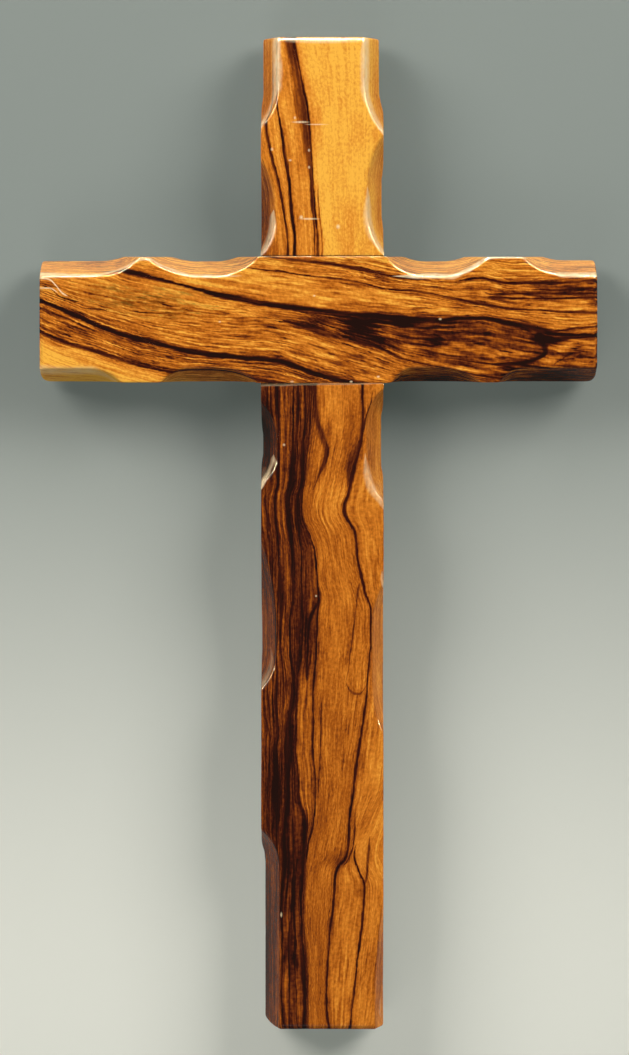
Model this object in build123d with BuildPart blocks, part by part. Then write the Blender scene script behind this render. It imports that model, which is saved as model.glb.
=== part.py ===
"""Carved wooden wall cross: two bars halved together and glued, with a nailed ring hanger behind the head.

Front view looks along +Y: +X is right, +Z is up and the back of the wood lies in the plane Y = 0.
The origin is on the axis of the wall nail that the hanger ring hangs on.
"""

import os
from math import cos, radians, sin, tan

from build123d import *

# Wooden bars
HEAD_LENGTH = 56.0
FOOT_LENGTH = 165.8
LEFT_ARM_LENGTH = 56.5
RIGHT_ARM_LENGTH = 54.5
UPRIGHT_WIDTH = 31.5
CROSSBAR_WIDTH = 32.2
THICKNESS = 16.0
END_CORNER_RADIUS = 2.0
FOOT_CORNER_RADIUS = 4.5
END_BEVEL = 1.0

# Cross-halving joint
UPPER_SHOULDER_GAP = 0.1
LOWER_SHOULDER_GAP = 0.4
LOWER_SHOULDER_TAPER = 0.5
CHEEK_GAP = 0.1
GLUE_THICKNESS = 0.2
GLUE_MARGIN = 0.5

# Scallops carved off the front arrises: the inset is measured on the front face, the tilt from square to it
SCALLOP_INSET = 5.0
SCALLOP_TILT = radians(14)

# One row per scallop: where it starts, where its floor starts and ends, where it ends, and how deep it is.
# Places are shares of the stretch of bar, counted from its top or left end; depth is a share of SCALLOP_INSET.
# A scallop that runs off the end of a bar starts below 0 or ends above 1.
HEAD_LEFT_SHARES = (
    (-0.40, -0.10, 0.24, 0.41, 0.88),
    (0.56, 0.76, 0.84, 1.00, 0.72),
)
HEAD_RIGHT_SHARES = (
    (-0.40, -0.10, 0.22, 0.44, 1.00),
    (0.45, 0.67, 0.80, 0.99, 0.85),
)
FOOT_LEFT_SHARES = (
    (0.03, 0.085, 0.11, 0.155, 0.84),
    (0.24, 0.385, 0.415, 0.472, 0.80),
    (0.69, 0.745, 1.10, 1.20, 0.95),
)
FOOT_RIGHT_SHARES = (
    (0.01, 0.06, 0.12, 0.182, 0.88),
    (0.31, 0.37, 0.47, 0.54, 0.58),
    (0.80, 0.95, 1.10, 1.20, 0.43),
)
LEFT_ARM_TOP_SHARES = (
    (-0.40, -0.10, 0.28, 0.455, 0.98),
    (0.475, 0.72, 0.79, 0.99, 1.00),
)
LEFT_ARM_BOTTOM_SHARES = (
    (-0.40, -0.10, 0.23, 0.37, 0.70),
    (0.55, 0.68, 0.80, 0.99, 0.74),
)
RIGHT_ARM_TOP_SHARES = (
    (0.01, 0.20, 0.27, 0.49, 1.00),
    (0.645, 0.85, 1.10, 1.40, 0.95),
)
RIGHT_ARM_BOTTOM_SHARES = (
    (0.04, 0.14, 0.26, 0.45, 0.76),
    (0.54, 0.65, 1.10, 1.40, 0.75),
)

# Hanger strap, folded from sheet round the ring's straight leg
STRAP_SHEET = 0.6
STRAP_WIDTH = 8.0
STRAP_LENGTH = 15.0
STRAP_CORNER_RADIUS = 3.0
STRAP_FOLD_GAP = 0.1
STRAP_FOLD_ANGLE = radians(50)

# Hanger ring, bent from wire, and the wall nail that it hangs on
RING_WIRE = 1.4
RING_BEND_RADIUS = 1.4
RING_SIDE_LENGTH = 1.0
RING_SIDE_PLAY = 0.4
RING_BUTT_GAP = 0.3
RING_RUNNING_GAP = 0.08
WALL_NAIL_DIAMETER = 2.5
HANG_DROP = 14.0

# Round-headed nail that holds the strap
NAIL_SHANK = 1.6
NAIL_LENGTH = 12.0
NAIL_POINT = 2.0
NAIL_HEAD = 3.8
NAIL_HEAD_HEIGHT = 1.1
NAIL_DROP = 8.5
NAIL_HOLE_GAP = 0.1
PILOT_GAP = 0.02

# How far a cut runs past what it cuts
OVERRUN = 3.0

# Levels of the wood, measured from the wall nail
head_top = HANG_DROP
bar_top = head_top - HEAD_LENGTH
bar_bottom = bar_top - CROSSBAR_WIDTH
foot_end = bar_bottom - FOOT_LENGTH
bar_left = -UPRIGHT_WIDTH / 2 - LEFT_ARM_LENGTH
bar_right = UPRIGHT_WIDTH / 2 + RIGHT_ARM_LENGTH
upright_length = head_top - foot_end
crossbar_length = bar_right - bar_left
lap_depth = THICKNESS / 2

# Levels of the hanger
roll_bore = RING_WIRE / 2 + RING_RUNNING_GAP
roll_radius = roll_bore + STRAP_SHEET
leg_half = STRAP_WIDTH / 2 + RING_SIDE_PLAY
ring_half = leg_half + RING_BEND_RADIUS
bow_height = RING_BEND_RADIUS + RING_SIDE_LENGTH
ring_reach = bow_height + ring_half - RING_WIRE / 2
roll_level = WALL_NAIL_DIAMETER / 2 - ring_reach
strap_tail = roll_level - STRAP_LENGTH
strap_face = 2 * STRAP_SHEET + STRAP_FOLD_GAP
nail_level = roll_level - NAIL_DROP

RIGHT = Vector(1, 0, 0)
BACK = Vector(0, 1, 0)
UP = Vector(0, 0, 1)


def scallop(arris, along, outward, stretch, shares):
    """Outline of one scallop, square to the stroke that carves it off a front arris."""
    start, floor_start, floor_end, end = (share * stretch for share in shares[:-1])
    depth = shares[-1] * SCALLOP_INSET * cos(SCALLOP_TILT)
    inward = BACK * sin(SCALLOP_TILT) - outward * cos(SCALLOP_TILT)
    stroke = Plane(arris, x_dir=along, z_dir=along.cross(inward))
    with BuildSketch(stroke, mode=Mode.PRIVATE) as outline:
        with BuildLine():
            floor = Line((floor_start, depth), (floor_end, depth))
            TangentArc(floor @ 0, (start, 0), tangent=(-1, 0))
            TangentArc(floor @ 1, (end, 0), tangent=(1, 0))
            Polyline((start, 0), (start, -OVERRUN), (end, -OVERRUN), (end, 0))
        make_face()
    return outline.sketch


scallop_stroke = (THICKNESS + OVERRUN) / cos(SCALLOP_TILT)

with BuildPart() as upright:
    with BuildSketch(Plane.XZ) as upright_front:
        with Locations((0, (head_top + foot_end) / 2)):
            Rectangle(UPRIGHT_WIDTH, upright_length)
        foot_left = upright_front.vertices().sort_by(Axis.Y)[:2].sort_by(Axis.X)[:1]
        other_corners = [corner for corner in upright_front.vertices() if corner not in foot_left]
        fillet(foot_left, FOOT_CORNER_RADIUS)
        fillet(other_corners, END_CORNER_RADIUS)
    extrude(amount=THICKNESS)
    with BuildSketch(Plane.YZ) as upright_side:
        with Locations((-THICKNESS / 2, (head_top + foot_end) / 2)):
            Rectangle(THICKNESS, upright_length)
        chamfer(upright_side.vertices().sort_by(Axis.X)[:2], END_BEVEL)
    extrude(amount=UPRIGHT_WIDTH, both=True, mode=Mode.INTERSECT)
    # Housing for the crossbar
    with BuildSketch(Plane.XZ.offset(THICKNESS)):
        with BuildLine():
            housing_half = UPRIGHT_WIDTH / 2 + OVERRUN
            housing_top = bar_top + UPPER_SHOULDER_GAP
            housing_bottom = bar_bottom - LOWER_SHOULDER_GAP
            # The lower shoulder was sawn a little out of square and stands open towards the left
            shoulder_fall = LOWER_SHOULDER_TAPER * housing_half / UPRIGHT_WIDTH
            Polyline(
                (-housing_half, housing_top),
                (housing_half, housing_top),
                (housing_half, housing_bottom + shoulder_fall),
                (-housing_half, housing_bottom - shoulder_fall),
                close=True,
            )
        make_face()
    extrude(amount=-lap_depth, mode=Mode.SUBTRACT)
    # Scallops down both front arrises
    for side, stretch_top, stretch, rows in (
        (-1, head_top, HEAD_LENGTH, HEAD_LEFT_SHARES),
        (1, head_top, HEAD_LENGTH, HEAD_RIGHT_SHARES),
        (-1, bar_bottom, FOOT_LENGTH, FOOT_LEFT_SHARES),
        (1, bar_bottom, FOOT_LENGTH, FOOT_RIGHT_SHARES),
    ):
        arris = Vector(side * UPRIGHT_WIDTH / 2, -THICKNESS, stretch_top)
        for shares in rows:
            outline = scallop(arris, -UP, RIGHT * side, stretch, shares)
            extrude(outline, amount=scallop_stroke, both=True, mode=Mode.SUBTRACT)
    # Pilot hole for the hanger's nail
    with Locations(Plane((0, 0, nail_level), x_dir=RIGHT, z_dir=BACK)):
        Hole(NAIL_SHANK / 2 + PILOT_GAP, depth=NAIL_LENGTH - strap_face + PILOT_GAP)
upright.part.label = "upright"

with BuildPart() as crossbar:
    with BuildSketch(Plane.XZ) as crossbar_front:
        with Locations(((bar_left + bar_right) / 2, (bar_top + bar_bottom) / 2)):
            Rectangle(crossbar_length, CROSSBAR_WIDTH)
        fillet(crossbar_front.vertices(), END_CORNER_RADIUS)
    extrude(amount=THICKNESS)
    with BuildSketch(Plane.XY.offset(bar_bottom)) as crossbar_side:
        with Locations(((bar_left + bar_right) / 2, -THICKNESS / 2)):
            Rectangle(crossbar_length, THICKNESS)
        chamfer(crossbar_side.vertices().sort_by(Axis.Y)[:2], END_BEVEL)
    extrude(amount=CROSSBAR_WIDTH, mode=Mode.INTERSECT)
    # Notch that straddles the upright
    with BuildSketch(Plane.XZ):
        with Locations((0, (bar_top + bar_bottom) / 2)):
            Rectangle(UPRIGHT_WIDTH + 2 * CHEEK_GAP, CROSSBAR_WIDTH + OVERRUN)
    extrude(amount=THICKNESS - lap_depth + GLUE_THICKNESS, mode=Mode.SUBTRACT)
    # Scallops along both front arrises of both arms
    for side, stretch_left, stretch, rows in (
        (1, bar_left, LEFT_ARM_LENGTH, LEFT_ARM_TOP_SHARES),
        (1, UPRIGHT_WIDTH / 2, RIGHT_ARM_LENGTH, RIGHT_ARM_TOP_SHARES),
        (-1, bar_left, LEFT_ARM_LENGTH, LEFT_ARM_BOTTOM_SHARES),
        (-1, UPRIGHT_WIDTH / 2, RIGHT_ARM_LENGTH, RIGHT_ARM_BOTTOM_SHARES),
    ):
        arris = Vector(stretch_left, -THICKNESS, bar_top if side > 0 else bar_bottom)
        for shares in rows:
            outline = scallop(arris, RIGHT, UP * side, stretch, shares)
            extrude(outline, amount=scallop_stroke, both=True, mode=Mode.SUBTRACT)
crossbar.part.label = "crossbar"

with BuildPart() as lap_glue:
    with BuildSketch(Plane.XZ.offset(THICKNESS - lap_depth)):
        with Locations((0, (bar_top + bar_bottom) / 2)):
            Rectangle(UPRIGHT_WIDTH - 2 * GLUE_MARGIN, CROSSBAR_WIDTH - 2 * GLUE_MARGIN)
    extrude(amount=GLUE_THICKNESS)
lap_glue.part.label = "lap_glue"

with BuildPart() as hanger_strap:
    with BuildSketch(Plane.YZ):
        with BuildLine():
            # Outside of the fold: up the back leaf, over the roll and down the front leaf
            roll_axis = (roll_radius, roll_level)
            fold_sweep = 180 + STRAP_FOLD_ANGLE * 180 / radians(180)
            Line((0, strap_tail), (0, roll_level))
            outer_roll = CenterArc(roll_axis, roll_radius, 180, -fold_sweep)
            outer_drop = ((outer_roll @ 1).X - strap_face) / tan(STRAP_FOLD_ANGLE)
            Polyline(
                outer_roll @ 1,
                (strap_face, (outer_roll @ 1).Y - outer_drop),
                (strap_face, strap_tail),
                (strap_face - STRAP_SHEET, strap_tail),
            )
            # Inside of the fold, back to the start
            inner_roll = CenterArc(roll_axis, roll_bore, 180, -fold_sweep)
            inner_drop = ((inner_roll @ 1).X - strap_face + STRAP_SHEET) / tan(STRAP_FOLD_ANGLE)
            Polyline(
                (strap_face - STRAP_SHEET, strap_tail),
                (strap_face - STRAP_SHEET, (inner_roll @ 1).Y - inner_drop),
                inner_roll @ 1,
            )
            Polyline(inner_roll @ 0, (STRAP_SHEET, strap_tail), (0, strap_tail))
        make_face()
    extrude(amount=STRAP_WIDTH / 2, both=True)
    fillet(hanger_strap.edges().filter_by(Axis.Y).group_by(Axis.Z)[0], STRAP_CORNER_RADIUS)
    with Locations(Plane((0, strap_face, nail_level), x_dir=RIGHT, z_dir=BACK)):
        Hole(NAIL_SHANK / 2 + NAIL_HOLE_GAP)
hanger_strap.part.label = "hanger_strap"

with BuildPart() as hanger_ring:
    with BuildLine(Plane((0, roll_radius, roll_level), x_dir=RIGHT, z_dir=-BACK)) as ring_path:
        Line((RING_BUTT_GAP / 2, 0), (leg_half, 0))
        CenterArc((leg_half, RING_BEND_RADIUS), RING_BEND_RADIUS, 270, 90)
        Line((ring_half, RING_BEND_RADIUS), (ring_half, bow_height))
        CenterArc((0, bow_height), ring_half, 0, 180)
        Line((-ring_half, bow_height), (-ring_half, RING_BEND_RADIUS))
        CenterArc((-leg_half, RING_BEND_RADIUS), RING_BEND_RADIUS, 180, 90)
        Line((-leg_half, 0), (-RING_BUTT_GAP / 2, 0))
    with BuildSketch(Plane((RING_BUTT_GAP / 2, roll_radius, roll_level), z_dir=RIGHT)):
        Circle(RING_WIRE / 2)
    sweep()
hanger_ring.part.label = "hanger_ring"

with BuildPart() as hanger_nail:
    with BuildSketch(Plane.XY.offset(nail_level)):
        with BuildLine():
            nail_tip = strap_face - NAIL_LENGTH
            head_crown = strap_face + NAIL_HEAD_HEIGHT
            crown_radius = ((NAIL_HEAD / 2) ** 2 + NAIL_HEAD_HEIGHT**2) / (2 * NAIL_HEAD_HEIGHT)
            Polyline(
                (0, head_crown),
                (0, nail_tip),
                (NAIL_SHANK / 2, nail_tip + NAIL_POINT),
                (NAIL_SHANK / 2, strap_face),
                (NAIL_HEAD / 2, strap_face),
            )
            RadiusArc((NAIL_HEAD / 2, strap_face), (0, head_crown), -crown_radius)
        make_face()
    revolve(axis=Axis((0, 0, nail_level), BACK))
hanger_nail.part.label = "hanger_nail"

os.makedirs("parts", exist_ok=True)
export_step(upright.part, "parts/upright.step")
export_step(crossbar.part, "parts/crossbar.step")
export_step(lap_glue.part, "parts/lap_glue.step")
export_step(hanger_strap.part, "parts/hanger_strap.step")
export_step(hanger_ring.part, "parts/hanger_ring.step")
export_step(hanger_nail.part, "parts/hanger_nail.step")
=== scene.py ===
"""Looks of a carved olive-wood wall cross: two lacquered bars, their glue and a brass ring hanger.

Everything is in metres in the part's own frame: +Z up, the front faces -Y and the back of the wood is at
Y = 0. The wood's figure is drawn in millimetres on each bar: across it, along it and down from its front.
"""

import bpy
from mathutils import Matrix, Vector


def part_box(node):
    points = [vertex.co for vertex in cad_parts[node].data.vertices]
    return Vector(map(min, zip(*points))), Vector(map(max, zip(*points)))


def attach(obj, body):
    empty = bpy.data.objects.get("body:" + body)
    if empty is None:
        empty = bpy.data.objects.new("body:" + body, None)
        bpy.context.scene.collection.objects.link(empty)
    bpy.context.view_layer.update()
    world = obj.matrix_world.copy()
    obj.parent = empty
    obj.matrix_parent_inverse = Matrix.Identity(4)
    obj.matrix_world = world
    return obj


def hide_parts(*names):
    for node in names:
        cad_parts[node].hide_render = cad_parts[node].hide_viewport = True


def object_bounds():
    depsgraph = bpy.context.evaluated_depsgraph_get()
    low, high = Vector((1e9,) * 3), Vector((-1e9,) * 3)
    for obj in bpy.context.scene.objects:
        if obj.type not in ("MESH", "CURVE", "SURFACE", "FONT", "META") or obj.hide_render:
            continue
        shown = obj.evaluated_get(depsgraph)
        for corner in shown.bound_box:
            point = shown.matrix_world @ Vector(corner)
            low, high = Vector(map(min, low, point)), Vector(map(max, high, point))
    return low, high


bl_info = {
    "name": "Carved Olive-Wood Wall Cross",
    "version": (1, 0, 0),
    "blender": (4, 5, 0),
    "location": "View3D > Sidebar > Wall Cross",
    "description": "Dresses the solids of a carved wall cross with lacquered olive wood, glue and brass",
    "category": "Object",
}

from math import pi, radians

import bpy
from bpy.props import FloatProperty, FloatVectorProperty, IntProperty, PointerProperty
from mathutils import Vector

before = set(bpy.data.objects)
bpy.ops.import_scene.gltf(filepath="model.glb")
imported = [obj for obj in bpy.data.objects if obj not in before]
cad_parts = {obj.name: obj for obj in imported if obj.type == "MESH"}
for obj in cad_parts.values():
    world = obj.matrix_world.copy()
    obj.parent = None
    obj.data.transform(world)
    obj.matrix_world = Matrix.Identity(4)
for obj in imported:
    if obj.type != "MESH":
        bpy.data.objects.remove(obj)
CAD_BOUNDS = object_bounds()

MM = 0.001
UPRIGHT_LOW, UPRIGHT_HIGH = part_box("upright")
BAR_LOW, BAR_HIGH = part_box("crossbar")
FRONT = UPRIGHT_LOW.y

# Figure of the upright, in millimetres. Growth lines run from left to right, each with its darkness and its
# points: along from the head's top, across from the bar's middle, and half width, where 0 only guides the
# grain.
UPRIGHT_LINES = (
    (0.9, ((0, -15.5, 0), (20, -14.6, 0.6), (30, -13, 0.6), (36, -11.4, 0.55), (42, -10.2, 0.55),
           (55, -8.8, 0.5), (88, -11.7, 0.55), (103, -11.3, 0.4), (113, -11.3, 0.55), (118, -12.2, 0.55),
           (123, -12, 0.6), (128, -11.4, 0.55), (138, -11.2, 0.5), (149, -11.6, 0.1), (158, -11.8, 0.3),
           (162, -11.6, 0.35), (167, -11.8, 0.5), (177, -11.4, 0.35), (182, -11.8, 0.6),
           (190, -11.6, 0.8), (195, -11.8, 0.9), (205, -11.8, 0.5), (214, -11.8, 0), (254, -12, 0))),
    (1, ((0, -12.6, 0.1), (15, -11.8, 0.4), (26, -10, 0.5), (31, -9.4, 0.6), (35, -8.8, 0.6),
         (44, -7.9, 0.65), (53, -7, 0.65), (88, -7.5, 0.25), (103, -7.6, 0.45), (113, -7.9, 0.8),
         (118, -8.8, 0.62), (123, -8.5, 0.6), (128, -8, 0.62), (138, -7.6, 0.65), (144, -7.7, 0.55),
         (149, -8.4, 0.42), (154, -8.4, 0.42), (158, -8.2, 0.55), (162, -7.6, 0.7), (167, -7.5, 0.75),
         (174, -8.4, 0.9), (182, -8.6, 1.4), (190, -9, 1.1), (195, -9.2, 0.85), (200, -9.7, 0.85),
         (205, -9.9, 0.9), (210, -9.8, 1), (215, -10, 0.7), (220, -10.3, 0.55), (225, -10.5, 0.55),
         (230, -10.2, 0.3), (246, -10.4, 0.2), (254, -9.8, 0.2))),
    (0.95, ((0, -10, 0), (22, -7, 0), (42, -5.2, 0), (55, -4.4, 0), (80, -4.4, 0.2), (93, -4.4, 0.38),
            (98, -4.5, 0.38), (103, -4.9, 0.58), (108, -5.1, 0.62), (113, -5.2, 0.58), (118, -6.5, 0.55),
            (123, -6.5, 0.55), (126, -6.1, 0.45), (128, -5.9, 0.3), (131, -5.4, 0.18), (146, -5.2, 0.28),
            (154, -5.2, 0.3), (158, -5.3, 0.25), (163, -6.2, 0.2), (174, -6.7, 0.3), (182, -6.7, 0.25),
            (187, -6.3, 0.25), (195, -5.8, 0.3), (198, -4.8, 0.38), (202, -4.2, 0.5), (205, -4.4, 0.55),
            (209, -4.8, 0.65), (213, -5, 0.55), (218, -5.3, 0.48), (225, -5.4, 0.38), (230, -5.5, 0.42),
            (238, -4.9, 0.7), (246, -4.8, 0.62), (254, -5, 0.62))),
    (0.95, ((0, -7.6, 0.5), (2.4, -7.1, 0.5), (8.3, -5.8, 0.5), (13.4, -4.8, 0.5), (18.5, -3.8, 0.5),
            (23.6, -3.3, 0.45), (28, -3, 0.35), (35, -2.5, 0.3), (41, -2.2, 0.3), (47, -1.6, 0.35),
            (55, -1.2, 0.45), (88, -2, 0), (98, -2.6, 0), (105, -3.5, 0), (113, -4.4, 0),
            (119, -5.2, 0.1), (123, -5, 0.2), (125, -4.2, 0.22), (127, -3.3, 0.2), (130, -2.3, 0.2),
            (132, -1.9, 0.22), (136, -1.5, 0.2), (140, -1.2, 0.25), (142, -0.8, 0.5), (144, -0.8, 0.4),
            (146, -1.1, 0.3), (154, -1.5, 0.3), (162, -1.9, 0.25), (174, -2.4, 0.3), (182, -2.4, 0.25),
            (190, -1.9, 0.3), (199, -2.1, 0.25), (202, -2.4, 0.3), (205, -3.3, 0.3), (209, -4, 0.2),
            (213, -4.3, 0), (225, -4.6, 0), (238, -3.8, 0), (254, -3.9, 0))),
    (0.95, ((0, 11, 0), (55, 10.5, 0), (80, 10.2, 0.2), (89, 10.2, 0.5), (96, 10.4, 0.5),
            (101, 10.1, 0.5), (105, 9.3, 0.6), (109, 8.2, 0.75), (113, 7.4, 0.7), (117, 6.5, 0.6),
            (119.8, 5.7, 0.65), (122, 6, 0.6), (125.7, 8.1, 0.45), (133, 8.9, 0.45), (138.5, 10.1, 0.5),
            (143, 11.4, 0.4), (146, 12.4, 0.35), (154, 12.4, 0.3), (159, 11.9, 0.35), (169, 11.1, 0.4),
            (178, 9.8, 0.5), (187, 8.6, 0.55), (195, 7.6, 0.5), (200, 6.9, 0.4), (207.5, 6.5, 0.4),
            (210, 5.8, 0.5), (212.5, 3.9, 0.45), (220, 3, 0.4), (229, 2, 0.35), (238, 1.2, 0.3),
            (246, 0.9, 0.35), (254, 1.6, 0.4))),
    (0.95, ((0, 17, 0), (150, 17, 0), (190, 15, 0), (200, 11, 0), (206, 8.6, 0), (209, 8.2, 0.2),
            (213, 9.3, 0.3), (217, 10.8, 0.4), (224, 10.4, 0.45), (233, 9.4, 0.4), (243, 8.3, 0.4),
            (254, 7.1, 0.45))),
)

# Strokes that lie across the growth lines' order: the brown flank of the head's bold line, the knot's rim,
# and the branches and thin stripes of the foot
UPRIGHT_STROKES = (
    (0.66, ((0, -8.7, 1.8), (2.4, -8.2, 1.8), (8.3, -6.9, 1.8), (13.4, -6, 1.9), (18.5, -5.2, 1.9),
            (23.6, -4.5, 1.6), (28.7, -3.9, 1.1), (35, -3, 0.7), (41, -2.8, 0.6), (47, -2.2, 0.5),
            (60, -2, 0))),
    (0.6, ((38, -1.2, 0), (44, -0.9, 0.25), (50, -0.3, 0.3), (56, 0, 0.3), (66, 0, 0))),
    (0.6, ((70, -2.4, 0), (84, -2.2, 0.8), (90, -1.9, 1), (98, -1.2, 1.1), (101, -0.3, 1),
           (103.5, 0.5, 0.9), (105.3, 1.2, 0.9), (107.5, 0.9, 0.8), (109, 0.3, 0.7), (112.4, -1.1, 0.5),
           (116, -2.8, 0))),
    (0.7, ((99, -0.6, 0), (101, -0.1, 0.35), (103.5, 0.9, 0.4), (105.3, 1.4, 0.45), (107.5, 1.2, 0.35),
           (110, 0.2, 0))),
    (0.9, ((134, -11.1, 0), (138, -10.9, 0.5), (144, -10.7, 0.4), (154, -10.8, 0.3), (159, -10.3, 0.25),
           (164, -10, 0.2), (169, -9.9, 0.2), (176, -9.9, 0))),
    (0.9, ((133, -12.8, 0.1), (144, -12.8, 0.2), (149, -12.7, 0.25), (154, -12.3, 0.28),
           (158, -11.8, 0.3), (161, -11.6, 0))),
    (0.7, ((70, -6.2, 0), (80, -6.2, 0.4), (88, -6.2, 0.42), (98, -6.4, 0.38), (103, -6.6, 0.25),
           (108, -6.3, 0.18), (113, -6.5, 0.15), (117, -7.3, 0))),
    (0.6, ((70, -3.3, 0), (80, -3.3, 0.2), (88, -3.3, 0.2), (98, -3.1, 0.2), (103, -3.5, 0.18),
           (107, -3.9, 0.15), (109, -4.2, 0))),
    (0.95, ((142, -0.9, 0), (143.6, -0.9, 0.5), (145, -1.4, 0.5), (146.7, -2.4, 0.65), (148.7, -3.3, 0.6),
            (151, -3.5, 0.5), (156, -3.7, 0.4), (162, -3.9, 0.3), (165, -4, 0))),
    (0.7, ((169, -0.1, 0), (174, -0.3, 0.2), (182, -0.5, 0.22), (187, -0.7, 0.18), (192, -1.1, 0.15),
           (196, -1.4, 0))),
    (0.6, ((141, -9.7, 0), (144, -9.7, 0.2), (154, -9.8, 0.2), (159, -9.8, 0.15), (164, -9.3, 0.2),
           (170, -9.2, 0))),
    (0.7, ((114, -14.4, 0), (118, -14.6, 0.2), (123, -14.1, 0.2), (129, -13.9, 0))),
    (0.75, ((164, -15.2, 0), (169, -15.1, 0.15), (174, -14.4, 0.2), (179, -13.5, 0.22),
            (184, -13.6, 0.26), (190, -13.9, 0.3), (195, -14.2, 0.2), (200, -14.2, 0.22),
            (204, -14.2, 0))),
    (0.7, ((163, -14.3, 0), (169, -13.9, 0.18), (173, -13.5, 0.15), (178, -13.2, 0))),
    (0.75, ((197, -8, 0), (205, -7.5, 0.4), (210, -7.5, 0.5), (215, -7.2, 0.5), (220, -7.4, 0.4),
            (225, -7.2, 0.45), (230, -7.1, 0.4), (236, -7.2, 0.2), (246, -6.7, 0.13), (254, -6.7, 0.1))),
    (0.95, ((224, -8, 0), (226, -8.2, 0.2), (230, -8.6, 0.42), (238, -8.5, 0.33), (254, -8.5, 0.3))),
    (0.7, ((196, 8.6, 0), (200, 8.4, 0.3), (205, 8.1, 0.3), (208, 7.6, 0.3), (210.5, 6.4, 0.3),
           (212, 5.2, 0))),
    (0.65, ((204, 12.2, 0), (207.4, 11.9, 0.4), (212.5, 11.6, 0.45), (217, 10.8, 0.4), (220, 10.6, 0))),
    (0.7, ((90, 12.9, 0), (93, 12.6, 0.4), (96, 11.6, 0.45), (99, 10.8, 0.4), (102, 10.4, 0))),
    (0.45, ((103, 9.2, 0), (106, 8.4, 0.9), (109, 7.1, 1.1), (112, 6.7, 0.7), (115, 6.4, 0))),
    (0.5, ((139, 9.6, 0), (141, 9.1, 0.3), (145, 8.6, 0.3), (154, 7.6, 0.25), (168, 5.6, 0))),
)

# Strokes that stand across the grain: across, along, half width. This one is half the ring of a small knot.
UPRIGHT_BENDS = (
    (0.4, ((5.6, 163, 0), (6.2, 165.3, 0.4), (7.5, 167.2, 0.5), (9.3, 167.7, 0.5), (10.6, 166.6, 0.4),
           (11.4, 165, 0))),
)

# Patches lighter or darker than the wood round them: across, along, half breadth, half length, shift of tone
UPRIGHT_PATCHES = (
    (2.7, 118, 5, 8, -0.14), (12.2, 115, 4, 8, -0.1), (7.6, 102, 2.5, 10, 0.12), (2, 94, 6, 12, -0.12),
    (4, 210.5, 4, 3, 0.22), (10.6, 217, 3, 4, 0.16), (3, 150, 10, 36, -0.04), (-4.3, 182, 2.6, 20, -0.26),
    (-11.6, 192, 2.6, 14, 0.2), (-7.4, 213, 2, 16, 0.16), (-2.2, 157, 2, 10, 0.16),
    (10, 6, 10, 14, -0.04), (6, 50, 8, 8, 0.06), (2, 190, 5, 24, 0.03), (-1, 234, 4, 20, 0.06),
    # These four darken facets at the bar's sides: partly the wood's own tone, partly painted shade
    (-15.2, 46, 2.6, 13, 0.34), (-14.6, 102, 2.2, 12, 0.37), (15, 240, 4, 16, 0.26),
    (-14.4, 228, 3, 24, 0.15),
)

# Pale specks and scratches in the lacquer, and last a pale strip along the head's top arris, partly chipped
# lacquer and partly a painted highlight: across, along, half breadth, half length
UPRIGHT_MARKS = (
    (-12.8, 28.7, 0.35, 0.45), (-3.4, 29, 0.3, 0.4), (-3.4, 33.3, 0.3, 0.4), (-8.2, 31.5, 0.45, 0.3),
    (4, 48.4, 0.5, 0.6), (-9.8, 104, 0.35, 0.35), (-1.6, 142.6, 0.25, 0.3), (-10.5, 224.3, 0.25, 0.7),
    (-7, 20.7, 0.3, 0.4), (-5.6, 21.8, 2.2, 0.3), (-1.4, 22.4, 2.8, 0.18), (-3.3, 46.4, 2.6, 0.25),
    (-5.4, 46, 0.5, 0.5), (0.3, 0.9, 10.5, 0.9),
)

# Painted highlights along the arrises, pale where lamps glint on the eased edges: how pale each is, and
# points as of a growth line
UPRIGHT_RIM_HIGHLIGHTS = (
    (0.9, ((0, -12.1, 2), (12, -12.1, 2), (15.4, -12.9, 1.8), (18, -14.1, 1.9), (20.5, -15, 1.5),
           (22.6, -15.7, 0.8), (24, -16, 0))),
    (0.75, ((0, 11.2, 1.6), (13, 11.2, 1.7), (16, 11.8, 1.7), (18.5, 12.9, 1.7), (21, 14, 1.6),
            (23.1, 14.8, 1.3), (24.6, 15.6, 0.6), (26, 16, 0))),
    (0.6, ((38, 11.5, 0), (41.7, 11.7, 0.9), (46, 11.8, 1.4), (49, 12.4, 1.6), (51, 13.1, 1.7),
           (53, 14.2, 1.5), (54.5, 15.2, 1), (56, 16, 0))),
    (0.75, ((44, -12.4, 0), (45.5, -12.6, 0.8), (48, -12.9, 1.6), (50, -13.4, 1.8), (52, -14.2, 1.6),
            (54, -15, 1.2), (56, -15.8, 0.5))),
    (1, ((106.5, -12.4, 0), (108, -12.8, 1.2), (110, -13.8, 1.7), (112, -14.7, 1.6), (114, -15.5, 1),
         (116, -16, 0))),
    (0.4, ((156, -13.2, 0), (158, -13.4, 1), (161, -14, 1.4), (164, -14.8, 1.2), (166, -15.6, 0.6),
           (168, -16, 0))),
    (0.4, ((106, 10.9, 0), (110, 11.2, 1), (113, 11.8, 1.4), (116, 13.2, 1.5), (118, 14.6, 1.3),
           (119.5, 15.5, 0.9), (121, 16, 0))),
    (0.5, ((136, 15.3, 0), (138, 15.2, 0.35), (140, 15.5, 0.35), (141, 15.7, 0))),
    (0.5, ((245, 15.6, 0), (247, 15, 0.5), (250, 14.9, 0.5), (252, 15.3, 0))),
)

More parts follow.
